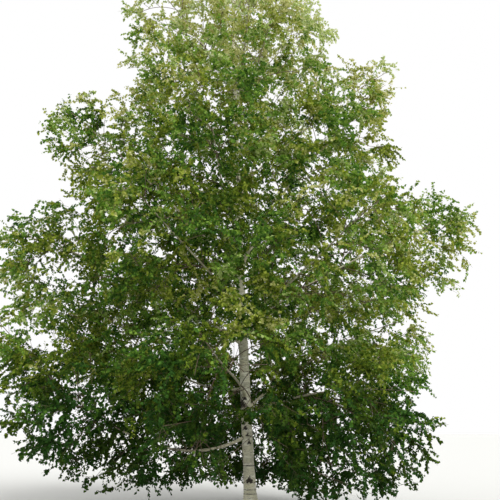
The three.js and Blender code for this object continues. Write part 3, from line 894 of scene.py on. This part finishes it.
# The masses are joined by tier, and the two widest tiers by side too, which keeps each piece small.
TWIG_COLOUR = (0.115, 0.075, 0.05)
TWIG_ROUGHNESS = 0.7
GROUPS = {
    "skirt_right": ["skirt_1", "skirt_2", "skirt_6"],
    "skirt_left": ["skirt_3", "skirt_4", "skirt_5"],
    "lower_right": ["lower_1", "lower_2", "lower_6"],
    "lower_left": ["lower_3", "lower_4", "lower_5"],
    "middle": ["middle"],
    "upper": ["upper"],
    "high": ["high"],
    "crest": ["crest", "summit"],
}

masses_of = {group: [mass for mass, limb in enumerate(limbs) if {limb["name"], limb["tier"]} & set(members)]
             for group, members in GROUPS.items()}

twig_bark = plain_finish("twig_bark", TWIG_COLOUR, TWIG_ROUGHNESS)
sprays = {}
for group, masses in masses_of.items():
    batches = []
    for mass in masses:
        made, twigs = wood_of(mass)
        shoots, twig_of = shoots_of(mass, twigs)
        ends = shoots[:, -1]
        kept = is_free(ends, mass) & (beside_opening(ends) > 0)
        sprays[mass] = (shoots[kept], twig_of[kept])
        batches += made
    points, triangles = join_tubes(batches)
    tips, tip_triangles = spikes(np.concatenate([sprays[mass][0] for mass in masses]))
    triangles = np.concatenate([triangles, tip_triangles + len(points)])
    piece = lay_mesh(f"twigs_{group}", np.concatenate([points, tips]), triangles)
    piece.data.materials.append(twig_bark)
    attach(piece, "root")
    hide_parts(*[f"leaves_{limbs[mass]['name']}" for mass in masses])


# Leaves. Small rhombic blades with a drawn-out tip, folded along the midrib, that grow on both sides of each
# shoot and hang outwards and down, each turned its own way. They are thin, so light passes through them.
# Their green carries painted shade and painted light: it is dark and full low down and inside, as painted
# shade, and light and a little grey in the top, as painted light.
LEAF_ROUGHNESS = 0.55
LEAF_SHEEN = 0.08
LEAF_THROUGH = 0.35
LEAF_GLOW = 1.5

# Each tint comes in a cool green, for some sprays, and in olive, for the rest.
# The tints run from the darkest green to the lightest, and the leaves' painted light and shade picks among
# them.
LEAF_TINTS = [
    ("deep", (0.020, 0.062, 0.010), (0.030, 0.063, 0.007)),
    ("green", (0.044, 0.116, 0.016), (0.068, 0.121, 0.011)),
    ("mid", (0.090, 0.190, 0.024), (0.135, 0.193, 0.019)),
    ("fresh", (0.180, 0.293, 0.044), (0.252, 0.302, 0.042)),
    ("pale", (0.318, 0.400, 0.140), (0.390, 0.408, 0.145)),
    ("light", (0.475, 0.530, 0.285), (0.535, 0.536, 0.290)),
]


def leaf_finish(name, colour):
    """A leaf's green, part of the light passing through the blade, a little yellower."""
    finish = plain_finish(name, colour, LEAF_ROUGHNESS)
    tree = finish.node_tree
    shader = tree.nodes["Principled BSDF"]
    shader.inputs["Specular IOR Level"].default_value = LEAF_SHEEN
    through = (LEAF_GLOW * colour[0], LEAF_GLOW * colour[1], colour[2], 1)
    glow = node(tree, "ShaderNodeBsdfTranslucent", {"Color": through})
    mix = node(tree, "ShaderNodeMixShader", {0: LEAF_THROUGH, 1: shader.outputs["BSDF"],
                                             2: glow.outputs["BSDF"]})
    tree.links.new(mix.outputs["Shader"], tree.nodes["Material Output"].inputs["Surface"])
    return finish


LEAVES = 23
LEAF_KEY = 9000
LEAF_DRAWS = 7
LAST_PLACE = 0.999
LEAF_LENGTH = (0.047, 0.075)
LEAF_WIDTH = 0.84
LEAF_WIDEST = 0.4
LEAF_FOLD = 0.12
LEAF_ALONG = 0.3
LEAF_ASIDE = 0.5
LEAF_DOWN = 0.5
LEAF_CHANCE = 1.7
LEAF_FACE_UP = 0.35
LEAF_NEARLY_UP = np.array([0.03, 0.07, 1.0])


def leaf_blades(shoots, mass):
    """Leaves along shoots, as points (leaves x 4 x 3). Leaf i starts at the share (i + 1) / LEAVES of its
    shoot and points on + (-1)^i across + down. Its points are base, one side, tip and the other side, and
    the two sides stand up a little from the line between base and tip, along which the blade is folded."""
    count = len(shoots)
    i = np.arange(LEAVES)
    chance = draw(limbs[mass]["key"] + LEAF_KEY, np.arange(count * LEAVES * LEAF_DRAWS))
    way_luck, face_luck, length_luck = np.split(chance.reshape(count, LEAVES, LEAF_DRAWS), (3, 6), axis=-1)
    along = np.minimum((i + 1) / LEAVES, LAST_PLACE) * (SHOOT_RINGS - 1)
    step = along.astype(int)
    inside = (along - step)[None, :, None]
    start = shoots[:, step] * (1 - inside) + shoots[:, step + 1] * inside
    ahead = unit(shoots[:, step + 1] - shoots[:, step])
    across = unit(np.cross(ahead, LEAF_NEARLY_UP))
    hand = np.where(i % 2 == 0, 1.0, -1.0)[None, :, None]
    way = LEAF_ALONG * ahead + LEAF_ASIDE * hand * across + np.array([0, 0, -LEAF_DOWN])
    way = unit(way + LEAF_CHANCE * (way_luck - 0.5))
    face = np.array([0, 0, LEAF_FACE_UP]) + 2 * (face_luck - 0.5)
    wide = unit(np.cross(way, face))
    normal = np.cross(wide, way)
    length = between(LEAF_LENGTH, length_luck)
    half = 0.5 * LEAF_WIDTH * length
    middle = start + LEAF_WIDEST * length * way + LEAF_FOLD * length * normal
    return np.stack([start, middle + half * wide, start + length * way, middle - half * wide], 2)


# How light the leaves are, from 0 to 1. Most of it is painted light and shade: painted shade low down and
# painted light high up, by shares of the tree's height, and by the place left or right of the trunk, lighter
# on the lamp's side, the right. More painted light comes with the distance from the mass's middle and to
# either side of the trunk, both squared. More comes from a slow ripple, and by chance for each twig, each
# shoot and each leaf. Another ripple and chance tell which shoots bear olive leaves.
PAINTED_LIGHT_HEIGHTS = (0.05, 0.12, 0.2, 0.28, 0.42, 0.55, 0.85)
PAINTED_LIGHT_LEVELS = (-0.17, 0.05, 0.36, 0.41, 0.39, 0.50, 0.95)
PAINTED_LIGHT_SIDES = (-5, 0, 5)
PAINTED_LIGHT_SIDE_LEVELS = (-0.06, 0.0, 0.11)
PAINTED_LIGHT_OUT = 0.08
PAINTED_LIGHT_AWAY = 0.12
PATCH = 0.08
PATCH_RIPPLE = (1.8, 1135)
TWIG_LUCK = 0.20
TWIG_LUCK_KEY = 9500
SHOOT_LUCK = 0.22
SHOOT_LUCK_KEY = 9600
LEAF_LUCK = 0.4
LEAF_LUCK_KEY = 9700
OLIVE_RIPPLE = (1.5, 3011)
OLIVE_LUCK = 1.6
OLIVE_LUCK_KEY = 9800
OLIVE_LEVEL = 0.15


def tints_of(shoots, twig_of, mass):
    """The number of the finish of each leaf along shoots: its tint, set mostly by painted light and shade,
    from the darkest, 0, and past the cool tints if it is olive."""
    hearts = shoots[:, 1]
    key = limbs[mass]["key"]
    away = hearts[:, 0] / solids_high[0]
    # Painted shade low down and painted light high up, and lighter on the right, the lamp's side.
    light = np.interp(hearts[:, 2] / solids_high[2], PAINTED_LIGHT_HEIGHTS, PAINTED_LIGHT_LEVELS)
    light = light + np.interp(hearts[:, 0], PAINTED_LIGHT_SIDES, PAINTED_LIGHT_SIDE_LEVELS)
    # Painted light out at the rim of each mass and out to both sides of the trunk.
    light = light + PAINTED_LIGHT_OUT * outness(hearts)[:, mass] ** 2 + PAINTED_LIGHT_AWAY * away**2
    light = light + PATCH * ripple(hearts, *PATCH_RIPPLE)
    light = light + TWIG_LUCK * (draw(key + TWIG_LUCK_KEY, twig_of) - 0.5)
    light = light + SHOOT_LUCK * (draw(key + SHOOT_LUCK_KEY, np.arange(len(shoots))) - 0.5)
    light = np.repeat(light, LEAVES)
    light = light + LEAF_LUCK * (draw(key + LEAF_LUCK_KEY, np.arange(light.size)) - 0.5)
    tints = np.clip(np.floor(len(LEAF_TINTS) * light), 0, len(LEAF_TINTS) - 1)
    chance = draw(key + OLIVE_LUCK_KEY, np.arange(len(shoots))) - 0.5
    hue = ripple(hearts, *OLIVE_RIPPLE) + OLIVE_LUCK * chance
    return tints + len(LEAF_TINTS) * np.repeat(hue > OLIVE_LEVEL, LEAVES)


# Round an opening the shoots bear only a share of their leaves.
THIN_SHARE = 0.35
THIN_SPAN = 1.6
THIN_KEY = 9900

leaf_finishes = [leaf_finish(f"leaf_{name}", cool) for name, cool, olive in LEAF_TINTS]
leaf_finishes += [leaf_finish(f"leaf_{name}_olive", olive) for name, cool, olive in LEAF_TINTS]
FOLDED = np.array([(0, 1, 2), (0, 2, 3)])
for group, masses in masses_of.items():
    blades, tints = [], []
    for mass in masses:
        shoots, twig_of = sprays[mass]
        made = leaf_blades(shoots, mass).reshape(-1, 4, 3)
        chance = draw(limbs[mass]["key"] + THIN_KEY, np.arange(len(made)))
        kept = is_free(made[:, 2], mass) & (chance < THIN_SHARE + beside_opening(made[:, 0]) / THIN_SPAN)
        blades.append(made[kept])
        tints.append(tints_of(shoots, twig_of, mass)[kept])
    blades = np.concatenate(blades)
    triangles = (FOLDED[None] + 4 * np.arange(len(blades))[:, None, None]).reshape(-1, 3)
    piece = lay_mesh(f"leaf_sprays_{group}", blades.reshape(-1, 3), triangles)
    for finish in leaf_finishes:
        piece.data.materials.append(finish)
    piece.data.polygons.foreach_set("material_index", np.repeat(np.concatenate(tints), 2).astype(np.int32))
    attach(piece, "root")
    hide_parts(*[f"leaves_{limbs[mass]['name']}" for mass in masses])
